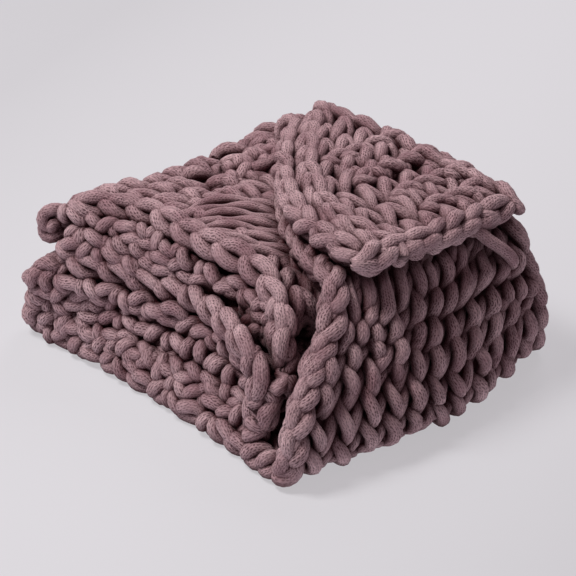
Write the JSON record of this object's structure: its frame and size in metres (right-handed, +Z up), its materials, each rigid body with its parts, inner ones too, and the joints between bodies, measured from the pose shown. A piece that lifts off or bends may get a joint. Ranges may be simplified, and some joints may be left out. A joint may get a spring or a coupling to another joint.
{
  "type": "folded chunky knit blanket",
  "caption": "Chunky knit throw folded into a squarish stack, its outer turn wrapping one side and its free corner lapped over the top.",
  "frame": {"origin": "middle of the footprint, on the floor", "axes": "+Z up; +X across the folds, towards the outer turn that wraps the side; -Y towards the layers' showing edges"},
  "size_m": [0.4384, 0.3809, 0.2041],
  "materials": {
    "plum_tube_yarn": "matt knitted tube yarn"
  },
  "bodies": {
    "root": {"blanket": "plum_tube_yarn"}
  },
  "joints": []
}
